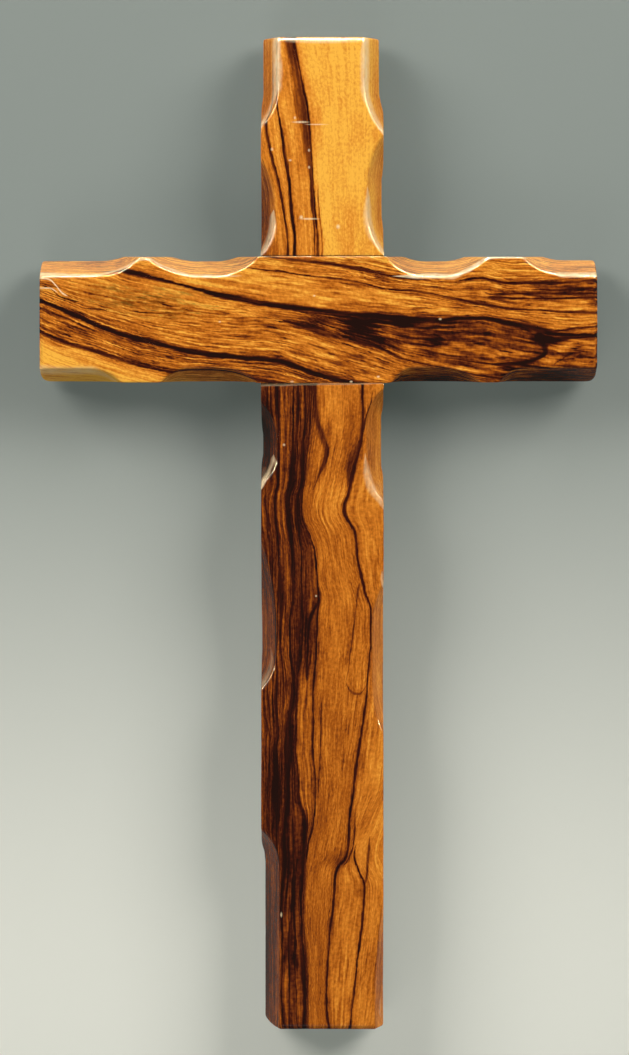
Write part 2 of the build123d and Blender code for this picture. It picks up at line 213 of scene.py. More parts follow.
# Tone and stripes across the growth layers, which count up in millimetres from the first line: pairs for the
# head and for the foot, and where along the bar the one passes into the other
UPRIGHT_TONES = (
    ((-16, 0.34), (-3, 0.3), (0, 0.16), (2, 0.16), (3.6, 0.2), (5, 0.19), (8.6, 0.16), (9.6, 0.08),
     (12, 0.05), (22, 0.06), (34, 0.2)),
    ((-16, 0.68), (-3, 0.68), (0, 0.64), (1, 0.58), (3, 0.6), (3.6, 0.66), (6, 0.68), (8.6, 0.64),
     (9.6, 0.46), (12, 0.4), (21, 0.38), (24, 0.32), (34, 0.22)),
)
UPRIGHT_STRIPES = (
    ((-16, 0.4), (-2, 0.4), (0, 0.35), (3.6, 0.25), (8.6, 0.2), (9.6, 0.06), (34, 0.15)),
    ((-16, 0.8), (0, 0.8), (3.6, 0.75), (8.6, 0.7), (9.6, 0.35), (12, 0.12), (21, 0.14), (34, 0.25)),
)
UPRIGHT_TURN = (50, 90)

# Nominal widths of the grain between one growth line and the next
UPRIGHT_BANDS = (3.6, 2.4, 3, 13, 5)

# The least and the most that growth lines swell, and how strong fibres and pores are
UPRIGHT_SWELL = (0.55, 1.1)
UPRIGHT_COARSENESS = 1

# Figure of the crossbar, in the same way: lines from top to bottom, along from its left end, and across from
# its top
CROSSBAR_LINES = (
    (0.8, ((0, -7, 0), (40, -3, 0), (58, 0, 0.3), (66, 1, 0.35), (77, 2.3, 0.5), (82, 3.2, 0.6),
           (90.6, 4.9, 0.5), (96, 5.6, 0.2), (105, 6.2, 0), (112, 5.4, 0.3), (120, 6.6, 0.45),
           (130, 6.7, 0.4), (142, 6.1, 0.4))),
    (0.75, ((0, -3, 0), (30, 0.5, 0), (54, 2.9, 0.2), (70, 4.9, 0.3), (80, 6.2, 0.3), (87, 7.8, 0.3),
            (97, 9, 0.4), (105, 10.4, 0.5), (112, 11.8, 0.5), (118, 12.9, 0.4), (123, 13.4, 0.35),
            (129, 13.8, 0.4), (142, 14.3, 0.45))),
    (1.2, ((0, 0, 0), (12, 1.2, 0), (19, 2.2, 0.4), (21, 3.2, 0.7), (26, 4.6, 0.65), (33.4, 6.4, 0.6),
           (41, 8.5, 0.6), (47, 10, 0.7), (60, 12.3, 0.8), (72, 13.6, 0.8), (86, 15.1, 0.85),
           (102, 16.1, 0.75), (112, 15.8, 0.6), (120, 17.1, 0.8), (128, 18.8, 1), (133, 19.9, 0.5),
           (142, 20.2, 0.35))),
    (0.72, ((0, 6.5, 0), (15, 11, 0), (40, 15, 0), (60, 16, 0), (66, 17, 0.4), (70, 17.9, 0.6),
            (80, 21.5, 0.4), (87.5, 23.8, 0.35), (93, 26.1, 0.3), (97, 27.1, 0.3), (108, 29.5, 0.3),
            (118, 31, 0.3), (142, 33, 0))),
    (1.2, ((0, 11, 0.6), (9, 14.8, 0.75), (18, 18.7, 0.75), (28, 21.7, 0.75), (41, 24.5, 0.75),
           (50.5, 25.8, 0.75), (61.5, 26.8, 0.8), (66.6, 28.6, 0.9), (74, 30.9, 0.8), (78, 31.7, 0.6),
           (90, 34, 0.5), (142, 40, 0))),
    (0.82, ((0, 19.3, 0.7), (5, 21.5, 0.6), (14.5, 24.3, 0.5), (28, 28.3, 0.45), (34, 29.6, 0.5),
            (47, 30.2, 0.6), (55.6, 31.5, 0.6), (78, 36, 0), (142, 46, 0))),
)
CROSSBAR_STROKES = (
    (1, ((108, 26.6, 0), (112, 26.9, 0.25), (117, 27.4, 0.45), (121.4, 27.3, 0.6), (125.3, 26.6, 0.6),
         (128, 25.5, 0.6), (130, 24.2, 0))),
    (0.9, ((127, 21.6, 0), (130, 21.4, 0.7), (134, 21, 0.45), (138, 20.8, 0.25), (142, 20.6, 0.2))),
    (0.6, ((131, 27.6, 0), (133, 26.4, 0.25), (135, 25.1, 0.25), (136.5, 24.6, 0))),
    (0.7, ((112, 6, 0), (118, 6.3, 0.25), (122, 6.8, 0.35), (130, 6.9, 0.35), (136, 6.3, 0.35),
           (142, 6, 0.45))),
    (0.7, ((125, 8.4, 0), (129, 8.3, 0.2), (134, 8.2, 0.3), (138, 8, 0.35), (142, 7.9, 0.35))),
    (0.7, ((113, 9, 0), (116, 9.6, 0.3), (121, 9.4, 0.25), (127, 9.3, 0.3), (133, 9.5, 0.35),
           (142, 9.2, 0.3))),
    (0.8, ((114, 10.2, 0), (117, 10.3, 0.4), (121, 10.5, 0.35), (127, 10.6, 0.25), (134, 10.5, 0.3),
           (142, 10.3, 0.35))),
    (0.8, ((62, 16, 0), (66, 17.2, 0.5), (71, 18.9, 0.8), (75, 20, 0.9), (80, 21.3, 0.7), (85, 22.4, 0.5),
           (89, 23.6, 0))),
    (0.8, ((128, 19.6, 0), (131, 19.2, 0.3), (134, 18.7, 0.3), (142, 18, 0.35))),
    (0.9, ((0, 7, 0.15), (2.7, 7.9, 0.15), (5.3, 10.1, 0.15), (7.8, 10.9, 0.3), (10, 11.4, 0))),
    (0.8, ((10, 12.6, 0), (12.5, 13.2, 0.2), (15.5, 13.4, 0.25), (18, 13.9, 0))),
    (0.8, ((30.5, 11.8, 0), (32, 12.3, 0.25), (34, 12.7, 0.2), (36, 12.8, 0))),
    (0.8, ((23, 13.6, 0), (26, 14.1, 0.18), (31, 14.5, 0.15), (34, 14.6, 0))),
)

# The bend of the hook at the right
CROSSBAR_BENDS = (
    (1, ((17.5, 127, 0), (18.8, 127.4, 0.9), (20.3, 127.9, 1.4), (21.7, 128.2, 1.5), (23, 128.9, 1),
         (24.2, 129.1, 0.8), (25.4, 128.4, 0.8), (26.4, 126.4, 0))),
)
CROSSBAR_PATCHES = (
    (16.4, 71, 2.6, 9, 0.5), (18.4, 81.5, 4, 7, 0.7), (16.3, 92.8, 1.8, 3.4, 0.6),
    (21.7, 92.5, 1.5, 7, 0.2), (22, 100.6, 1, 3.4, 0.24), (20, 96, 4.5, 13, 0.16),
    (8.5, 130, 3.6, 20, 0.2), (12.2, 108, 1.4, 6, 0.2), (29, 128, 3, 14, 0.05), (5, 40, 4, 14, -0.04),
    (21, 112, 5, 16, 0.08), (24, 58, 4, 14, -0.05), (16.5, 52, 4, 14, 0.08), (26.5, 118, 3, 8, -0.06),
    # These three darken the facets under the arms: partly the wood's dark smudgy tone, partly painted shade
    (31.2, 132, 3.4, 18, 0.46), (31.2, 102, 3.2, 11, 0.32), (31.2, 46, 3.4, 14, 0.34),
    (1.5, 12, 3, 16, 0.1), (21.3, 128.6, 1.5, 4.2, 0.5),
)

# Grey-brown smudges under the lacquer: across, along, half breadth, half length, strength
CROSSBAR_SMUDGES = (
    (11, 27, 3.4, 15, 0.85), (14, 33, 2, 9, 0.75), (8.6, 19, 2, 8, 0.6),
)
CROSSBAR_MARKS = (
    (16.6, 46.1, 0.25, 0.35), (15.9, 102.3, 0.3, 0.4), (31.9, 64.5, 0.3, 0.5), (31.9, 79.6, 0.3, 0.4),
    (30.6, 86.5, 0.3, 0.4), (10, 70.2, 0.25, 0.35),
)

# Two splintered fibres at the left end, then painted highlights along the top arrises, and last a painted
# reflection of the pale backdrop that lightens the facet under the left arm
CROSSBAR_SPLINTERS_AND_HIGHLIGHTS = (
    (1, ((0, 5.4, 0.3), (2.8, 5.9, 0.28), (4.2, 7.2, 0.28), (6, 9.3, 0.28), (7.4, 10.1, 0))),
    (0.9, ((0.6, 8, 0.2), (2.5, 8, 0.2), (4, 8.6, 0.18), (5, 9.4, 0))),
    (0.85, ((0, 4.6, 0.8), (9.4, 4.8, 0.7), (15.5, 4.6, 0.45), (19, 3.7, 0.4), (22.1, 2.6, 0.4),
            (25.7, 0.8, 0.4), (28, 0.6, 0.4), (30.8, 2.1, 0.4), (33.9, 3.3, 0.4), (36.9, 4.5, 0.45),
            (41, 5, 0.45), (47, 5, 0.3), (52, 4.9, 0))),
    (1, ((90, 5, 0), (95, 5, 0.5), (99.7, 4.9, 0.75), (104.9, 5, 0.85), (108.9, 3.6, 0.85),
         (111.5, 2.1, 0.7), (114.6, 0.4, 0.5), (118, 0.1, 0.4), (122.7, 0.2, 0.3), (125, 0.6, 0))),
    (1, ((128, 3.4, 0), (131, 4.2, 0.3), (133.4, 4.5, 0.75), (142.5, 4.5, 0.8))),
    (0.6, ((0, 30.2, 2.4), (8, 30.2, 2.4), (14, 30.6, 2), (20, 32, 0))),
)
CROSSBAR_TONES = (
    ((-12, 0.2), (-3, 0.24), (0, 0.24), (4, 0.2), (9, 0.18), (15, 0.27), (23, 0.34), (24, 0.38),
     (28, 0.4), (29.5, 0.18), (31, 0.12), (35, 0.04), (40, 0)),
    ((-12, 0.2), (-3, 0.25), (-1, 0.28), (1.5, 0.34), (4, 0.27), (8.6, 0.29), (9.8, 0.48), (14, 0.47),
     (15.5, 0.38), (23, 0.4), (29, 0.54), (40, 0.66)),
)
CROSSBAR_STRIPES = (
    ((-12, 0.8), (-2, 0.7), (0, 0.4), (4, 0.2), (9, 0.2), (15, 0.3), (23, 0.3), (24, 0.8), (28.5, 0.8),
     (29.5, 0.2), (40, 0.4)),
    ((-12, 0.8), (-3, 0.7), (1.5, 0.6), (4, 0.25), (8.6, 0.2), (10, 0.7), (14.5, 0.7), (16, 0.3),
     (40, 0.5)),
)
CROSSBAR_TURN = (62, 92)
CROSSBAR_BANDS = (4, 5, 6, 8, 6)
CROSSBAR_SWELL = (0.7, 1.3)
CROSSBAR_COARSENESS = 2.5

# How much wider the growth layers lie for each millimetre down from the front face
LAYER_FAN = 0.04

# How the layers wander from their lines: breadth and length of a cell in millimetres, and throw to either
# side
WANDERS = ((14, 45, 0.25), (2.5, 9, 0.18), (0.4, 3, 0.2))

# Patterns in the growth layers: breadth and length of a cell in millimetres, the window of the noise that is
# used, and the two values that the window is spread over
EVEN_WINDOW = (0.25, 0.75)
STRIPE_WINDOW = (0.4, 0.6)
EITHER_WAY = (-0.5, 0.5)
GRAIN_PATTERNS = {
    "stripe": (0.8, 70, STRIPE_WINDOW, EITHER_WAY),
    "fine_stripe": (0.35, 32, STRIPE_WINDOW, EITHER_WAY),
    "streak": (0.8, 16, EVEN_WINDOW, EITHER_WAY),
    "fibre": (0.4, 7, EVEN_WINDOW, EITHER_WAY),
    "dash": (0.42, 4.5, (0.55, 0.67), (0, 1)),
    "cluster": (4, 11, (0.4, 0.62), (0.1, 1)),
    "mottle": (0.5, 0.9, EVEN_WINDOW, EITHER_WAY),
    "cloud": (5, 14, EVEN_WINDOW, EITHER_WAY),
    "fade": (1, 12, (0.3, 0.65), (0.55, 1.05)),
    "soot": (0.5, 4, (0.42, 0.6), (0.15, 1)),
}

# How far streaks and fibres fray the edges of patches and smudges
FRAYING = 1.2

# Shift of tone in the margin beside a growth line and on end grain
MARGIN_SHIFT = 0.14
END_GRAIN_SHIFT = 0.16

# How pale specks are, and the painted sheen of light on faces that are turned up
SPECK_PALENESS = 0.8
UPTURNED_SHEEN_PALENESS = 0.18

# Depths in millimetres between which the splinters and the painted highlights fade out
HIGHLIGHT_DEPTHS = (2.5, 7)

# Cells of the noise that swells the growth lines, breaks up the specks and painted highlights, and ripples
# the lacquer: breadth and length in millimetres
SWELL_CELL = (3, 11)
BREAKUP_CELL = (0.5, 2.2)
RIPPLE_CELL = (1.6, 9)

# Relief of the fibres and of the brush's ripples
FIBRE_RELIEF = 0.05 * MM
RIPPLE_RELIEF = 0.04 * MM

# Breadth of the clouds in the brass and in the glue
TARNISH_CLOUD = 3 * MM
GLUE_CLOUD = 2 * MM

# Angles between two faces of the brass: one flat up to the first, shaded as one up to the second, and an
# edge to round past the third
FLAT_ANGLE = radians(1)
SHADE_ANGLE = radians(35)
EDGE_ANGLE = radians(40)

# Corners of a copied solid that lie closer than this are one
MERGE_GAP = 0.001 * MM

# How far the middle of the picture lies right of and above the middle of the front
AIM_RIGHT = -1 * MM
AIM_UP = 1.9 * MM


def linear(hex_colour):
    """Linear RGB of an sRGB hex colour such as "c07428"."""
    shares = [int(hex_colour[i:i + 2], 16) / 255 for i in (0, 2, 4)]
    return [s / 12.92 if s <= 0.04045 else ((s + 0.055) / 1.055) ** 2.4 for s in shares]


def add_node(tree, kind, inputs=None, **settings):
    """Adds a shader node with its settings. An input is a value, a socket or a node's first output."""
    node = tree.nodes.new("ShaderNode" + kind)
    for name, value in settings.items():
        setattr(node, name, value)
    for key, value in (inputs or {}).items():
        if isinstance(value, bpy.types.Node):
            value = value.outputs[0]
        if isinstance(value, bpy.types.NodeSocket):
            tree.links.new(value, node.inputs[key])
        else:
            node.inputs[key].default_value = value
    return node


def draw_curve(curve_node, points):
    """Gives a Float Curve node its points, in the units that come in and go out."""
    curve_node.mapping.use_clip = False
    curve = curve_node.mapping.curves[0]
    for spot in list(curve.points)[2:]:
        curve.points.remove(spot)
    curve.points[0].location = points[0]
    curve.points[1].location = points[-1]
    for point in points[1:-1]:
        curve.points.new(*point)
    for spot in curve.points:
        spot.handle_type = "AUTO_CLAMPED"
    curve_node.mapping.update()


def new_material(name):
    """A material with an empty node tree and its output."""
    material = bpy.data.materials.new(name)
    material.use_nodes = True
    material.node_tree.nodes.clear()
    output = add_node(material.node_tree, "OutputMaterial")
    return material, material.node_tree, output


class WoodFinish(bpy.types.PropertyGroup):
    """Tones of the olive wood and its lacquer."""

    clear_tone: FloatVectorProperty(
        name="Clear Wood", description="Palest wood, right of the growth lines of the head",
        subtype="COLOR", default=linear("ffb844"))
    honey_tone: FloatVectorProperty(
        name="Honey Wood", description="Pale wood of the arms",
        subtype="COLOR", default=linear("e88f2d"))
    amber_tone: FloatVectorProperty(
        name="Amber Wood", description="Middle tone of the arms",
        subtype="COLOR", default=linear("d0751f"))
    tan_tone: FloatVectorProperty(
        name="Tan Wood", description="Middle tone of the foot",
        subtype="COLOR", default=linear("a85511"))
    brown_tone: FloatVectorProperty(
        name="Brown Wood", description="Brown streaks beside the growth lines",
        subtype="COLOR", default=linear("74330f"))
    heart_tone: FloatVectorProperty(
        name="Heart Wood", description="Dark streaks of the heart wood",
        subtype="COLOR", default=linear("451608"))
    line_tone: FloatVectorProperty(
        name="Growth Line", description="Nearly black growth lines",
        subtype="COLOR", default=linear("220c06"))
    smudge_tone: FloatVectorProperty(
        name="Smudge", description="Grey-brown smudges under the lacquer of the left arm",
        subtype="COLOR", default=linear("54483a"))
    # Pale colour of specks and scratches, also used for the painted highlights along the arrises and the
    # painted sheen on faces turned up
    mark_and_highlight_tone: FloatVectorProperty(
        name="Marks", description="Pale specks, scratches and rims of thick lacquer",
        subtype="COLOR", default=linear("ffdfae"))
    lacquer_weight: FloatProperty(
        name="Lacquer", description="How closed the coat of lacquer is",
        subtype="FACTOR", min=0, max=1, default=0.26)
    lacquer_roughness: FloatProperty(
        name="Lacquer Roughness", description="Roughness of the brushed gloss lacquer",
        subtype="FACTOR", min=0, max=1, default=0.1)


class BarShape(bpy.types.PropertyGroup):
    """How the two bars are worked by hand."""

    upright_grain: FloatProperty(
        name="Upright Mesh", description="Size of the upright's mesh cells",
        unit="LENGTH", default=0.3 * MM)
    crossbar_grain: FloatProperty(
        name="Crossbar Mesh", description="Size of the crossbar's mesh cells",
        unit="LENGTH", default=0.28 * MM)
    triangles: IntProperty(
        name="Triangles", description="Triangles that a finished bar has",
        min=1000, default=180000)
    easing: IntProperty(
        name="Easing", description="Passes of sanding that ease the arrises",
        min=0, default=26)
    seam_margin: FloatProperty(
        name="Seam Margin", description="Strip beside the joint's shoulders that stays crisp",
        unit="LENGTH", default=1.2 * MM)
    waviness: FloatProperty(
        name="Waviness", description="Depth of the hollows that hand sanding leaves",
        unit="LENGTH", default=0.12 * MM)
    waviness_size: FloatProperty(
        name="Waviness Size", description="Breadth of the hollows that hand sanding leaves",
        unit="LENGTH", default=18 * MM)
    raggedness: FloatProperty(
        name="Raggedness", description="Depth of the small unevenness that the gouge leaves",
        unit="LENGTH", default=0.06 * MM)
    raggedness_size: FloatProperty(
        name="Raggedness Size", description="Breadth of the small unevenness that the gouge leaves",
        unit="LENGTH", default=2.5 * MM)


class GlueFinish(bpy.types.PropertyGroup):
    """The cured glue of the joint."""

    thick_glue: FloatVectorProperty(
        name="Thick Glue", description="Colour of the glue where it is thick",
        subtype="COLOR", default=linear("c79a52"))
    thin_glue: FloatVectorProperty(
        name="Thin Glue", description="Colour of the glue where it is thin",
        subtype="COLOR", default=linear("e9cf96"))


class HangerFinish(bpy.types.PropertyGroup):
    """The brass of the hanger."""

    brass: FloatVectorProperty(
        name="Brass", description="Colour of the tumbled brass",
        subtype="COLOR", default=linear("d9b25f"))
    tarnish: FloatVectorProperty(
        name="Tarnish", description="Colour of the dulled brass in the hollows",
        subtype="COLOR", default=linear("7d5a2a"))
    edge_radius: FloatProperty(
        name="Edge Radius", description="Rounding that tumbling gives the stamped edges",
        unit="LENGTH", default=0.08 * MM)


class StageSettings(bpy.types.PropertyGroup):
    """The plain backdrop, the studio light and the camera."""

    backdrop_top: FloatVectorProperty(
        name="Backdrop Top", description="Colour of the matt backdrop above the head",
        subtype="COLOR", default=linear("90958e"))
    backdrop_foot: FloatVectorProperty(
        name="Backdrop Foot", description="Colour of the matt backdrop below the foot",
        subtype="COLOR", default=linear("e6e3d6"))
    backdrop_size: FloatProperty(
        name="Backdrop Size", description="Breadth and height of the backdrop",
        unit="LENGTH", default=6)
    backdrop_gap: FloatProperty(
        name="Backdrop Gap", description="Room between the hanger and the backdrop",
        unit="LENGTH", default=0.5 * MM)
    view_height: FloatProperty(
        name="View Height", description="Height of the picture at the front of the wood",
        unit="LENGTH", default=269.3 * MM)
    view_distance: FloatProperty(
        name="View Distance", description="From the camera to the front of the wood",
        unit="LENGTH", default=1600 * MM)
    overhead_power: FloatProperty(
        name="Overhead Lamp", description="Power of the soft lamp above the head",
        unit="POWER", default=1.5)
    left_power: FloatProperty(
        name="Left Lamp", description="Power of the soft lamp at the left",
        unit="POWER", default=23.5)
    right_power: FloatProperty(
        name="Right Lamp", description="Power of the soft lamp at the right",
        unit="POWER", default=25.4)
    low_power: FloatProperty(
        name="Low Lamp", description="Power of the weak lamp that lifts the shade under the arms",
        unit="POWER", default=2.3)
    strip_power: FloatProperty(
        name="Strip Lamps",
        description="Power of the strip above the head; each side strip has a quarter of it",
        unit="POWER", default=540)
    strip_tone: FloatVectorProperty(
        name="Strip Tone", description="Colour of the strips, warm as an old tube",
        subtype="COLOR", default=linear("fff4c6"))
    back_sun: FloatProperty(
        name="Back Sun", description="Strength of the sun behind the backdrop, which lights the back",
        default=1.5)
    room_light: FloatProperty(
        name="Room Light", description="Even light from the room",
        default=0.115)
    room_tone: FloatProperty(
        name="Room Tone", description="Brightness of the room's pale walls where they are seen or mirrored",
        default=0.3)
    room_colour: FloatVectorProperty(
        name="Room Colour", description="Colour of the room's walls and light",
        subtype="COLOR", default=linear("d2f4f4"))


def grain_noise(tree, spot, breadth, length, window, values):
    """Noise in cells drawn out along the grain, in millimetres: a window of it is spread over two values."""
    cell = (1 / breadth, 1 / length, 0.25 / breadth)
    cells = add_node(tree, "VectorMath", {0: spot, 1: cell}, operation="MULTIPLY")
    noise = add_node(tree, "TexNoise", {"Vector": cells, "Scale": 1, "Detail": 2})
    return add_node(
        tree, "MapRange", {"Value": noise, 1: window[0], 2: window[1], 3: values[0], 4: values[1]})


def oval(tree, grain, place, depth_weight):
    """How far a spot is from an oval's middle, where 1 is its edge and depth counts by its weight."""
    across_at, along_at, half_breadth, half_length = place
    scale = (1 / half_breadth, 1 / half_length, depth_weight)
    centre = (-across_at / half_breadth, -along_at / half_length, 0)
    spot = add_node(tree, "VectorMath", {0: grain, 1: scale, 2: centre}, operation="MULTIPLY_ADD")
    return add_node(tree, "VectorMath", {0: spot}, operation="LENGTH").outputs["Value"]


def drawn_lines(tree, travel, offset, swell, rows):
    """Lines that follow points: for each its distance, its middle, its dark core and its brown margin."""
    drawn = []
    for darkness, points in rows:
        middle = add_node(tree, "FloatCurve", {"Value": travel})
        draw_curve(middle, [(point[0], point[1]) for point in points])
        half = add_node(tree, "FloatCurve", {"Value": travel})
        draw_curve(half, [(point[0], point[2]) for point in points])
        distance = add_node(tree, "Math", {0: offset, 1: middle}, operation="SUBTRACT")
        size = add_node(tree, "Math", {0: distance}, operation="ABSOLUTE")
        swollen = add_node(tree, "Math", {0: half, 1: swell}, operation="MULTIPLY")
        room = add_node(tree, "Math", {0: swollen, 1: 0.001}, operation="MAXIMUM")
        ratio = add_node(tree, "Math", {0: size, 1: room}, operation="DIVIDE")
        core = add_node(
            tree, "MapRange", {"Value": ratio, 1: 0.3, 2: 1.3, 3: darkness, 4: 0},
            interpolation_type="SMOOTHSTEP")
        margin = add_node(
            tree, "MapRange", {"Value": ratio, 1: 0.8, 2: 4, 3: darkness, 4: 0},
            interpolation_type="SMOOTHSTEP")
        drawn.append((distance, middle, core, margin))
    return drawn


def layer_across(tree, lines, bands):
    """How far across the growth layers a spot is, in nominal millimetres from the first line."""
    layer = add_node(tree, "Math", {0: lines[0][0], 1: 0}, operation="MINIMUM")
    for (distance, middle, _, _), (_, next_middle, _, _), width in zip(lines, lines[1:], bands):
        gap = add_node(tree, "Math", {0: next_middle, 1: middle}, operation="SUBTRACT")
        share = add_node(tree, "Math", {0: distance, 1: gap}, operation="DIVIDE", use_clamp=True)
        layer = add_node(tree, "Math", {0: share, 1: width, 2: layer}, operation="MULTIPLY_ADD")
    beyond = add_node(tree, "Math", {0: lines[-1][0], 1: 0}, operation="MAXIMUM")
    return add_node(tree, "Math", {0: layer, 1: beyond}, operation="ADD")


def layer_profile(tree, layer, turn, start_points, end_points):
    """A curve across the growth layers: one at the bar's start, which passes into another at its end."""
    curves = []
    for points in (start_points, end_points):
        curves.append(add_node(tree, "FloatCurve", {"Value": layer}))
        draw_curve(curves[-1], points)
    return add_node(tree, "Mix", {0: turn, 2: curves[0], 3: curves[1]}, data_type="FLOAT")


def tone_ramp(tree, tone):
    """Colour of the wood by its tone, from clear wood to the growth lines."""
    finish = bpy.context.scene.wood_finish
    ramp = add_node(tree, "ValToRGB", {0: tone})
    stops = (
        (0, finish.clear_tone), (0.16, finish.honey_tone), (0.3, finish.amber_tone), (0.45, finish.tan_tone),
        (0.62, finish.brown_tone), (0.8, finish.heart_tone), (0.97, finish.line_tone),
    )
    for position, _ in stops[1:-1]:
        ramp.color_ramp.elements.new(position)
    for element, (position, colour) in zip(ramp.color_ramp.elements, stops):
        element.position = position
        element.color = (*colour, 1)
    return ramp


def smudged(tree, colour, grain, patterns, smudges):
    """A colour with grey-brown smudges over it, broken up along the grain."""
    share = 0
    for *place, strength in smudges:
        frayed = oval(tree, grain, place, 0.1)
        for name in ("streak", "fibre"):
            frayed = add_node(
                tree, "Math", {0: patterns[name], 1: FRAYING, 2: frayed}, operation="MULTIPLY_ADD")
        smudge = add_node(tree, "MapRange", {"Value": frayed, 1: 0.1, 2: 1.2, 3: strength, 4: 0})
        share = add_node(tree, "Math", {0: smudge, 1: share}, operation="MAXIMUM")
    share = add_node(tree, "Math", {0: share, 1: patterns["soot"]}, operation="MULTIPLY")
    smudge_tone = bpy.context.scene.wood_finish.smudge_tone
    mix = add_node(
        tree, "Mix", {0: share, 6: colour, 7: (*smudge_tone, 1)},
        data_type="RGBA", blend_type="MULTIPLY")
    return mix.outputs[2]


def marked_and_highlighted(tree, colour, grain, facing, swell, figure):
    """A colour with pale specks and scratches, painted highlights along the arrises near the front, and a
    painted sheen of light on faces turned up.
    """
    across, along, depth = add_node(tree, "SeparateXYZ", {0: grain}).outputs
    pale = 0
    # Rows of splinters and of painted highlights along the arrises, faded out with depth
    for _, _, rim, _ in drawn_lines(tree, along, across, swell, figure["rims"]):
        pale = add_node(tree, "Math", {0: rim, 1: pale}, operation="MAXIMUM")
    start, end = HIGHLIGHT_DEPTHS
    shallow = add_node(tree, "MapRange", {"Value": depth, 1: start, 2: end, 3: 1, 4: 0})
    pale = add_node(tree, "Math", {0: pale, 1: shallow}, operation="MULTIPLY")
    for place in figure["marks"]:
        radius = oval(tree, grain, place, 0.3)
        speck = add_node(tree, "MapRange", {"Value": radius, 1: 0.3, 2: 1.2, 3: SPECK_PALENESS, 4: 0})
        pale = add_node(tree, "Math", {0: speck, 1: pale}, operation="MAXIMUM")
    broken_up = grain_noise(tree, grain, *BREAKUP_CELL, (0.35, 0.6), (0.6, 1))
    pale = add_node(tree, "Math", {0: pale, 1: broken_up}, operation="MULTIPLY")
    # Faces turned up are painted paler: a painted sheen of the light from above
    turned = add_node(tree, "SeparateXYZ", {0: facing})
    upturned_sheen = add_node(
        tree, "MapRange", {"Value": turned.outputs["Z"], 1: 0.35, 2: 0.8, 3: 0, 4: UPTURNED_SHEEN_PALENESS})
    pale = add_node(tree, "Math", {0: upturned_sheen, 1: pale}, operation="MAXIMUM")
    mark_and_highlight_tone = bpy.context.scene.wood_finish.mark_and_highlight_tone
    mix = add_node(tree, "Mix", {0: pale, 6: colour, 7: (*mark_and_highlight_tone, 1)}, data_type="RGBA")
    return mix.outputs[2]


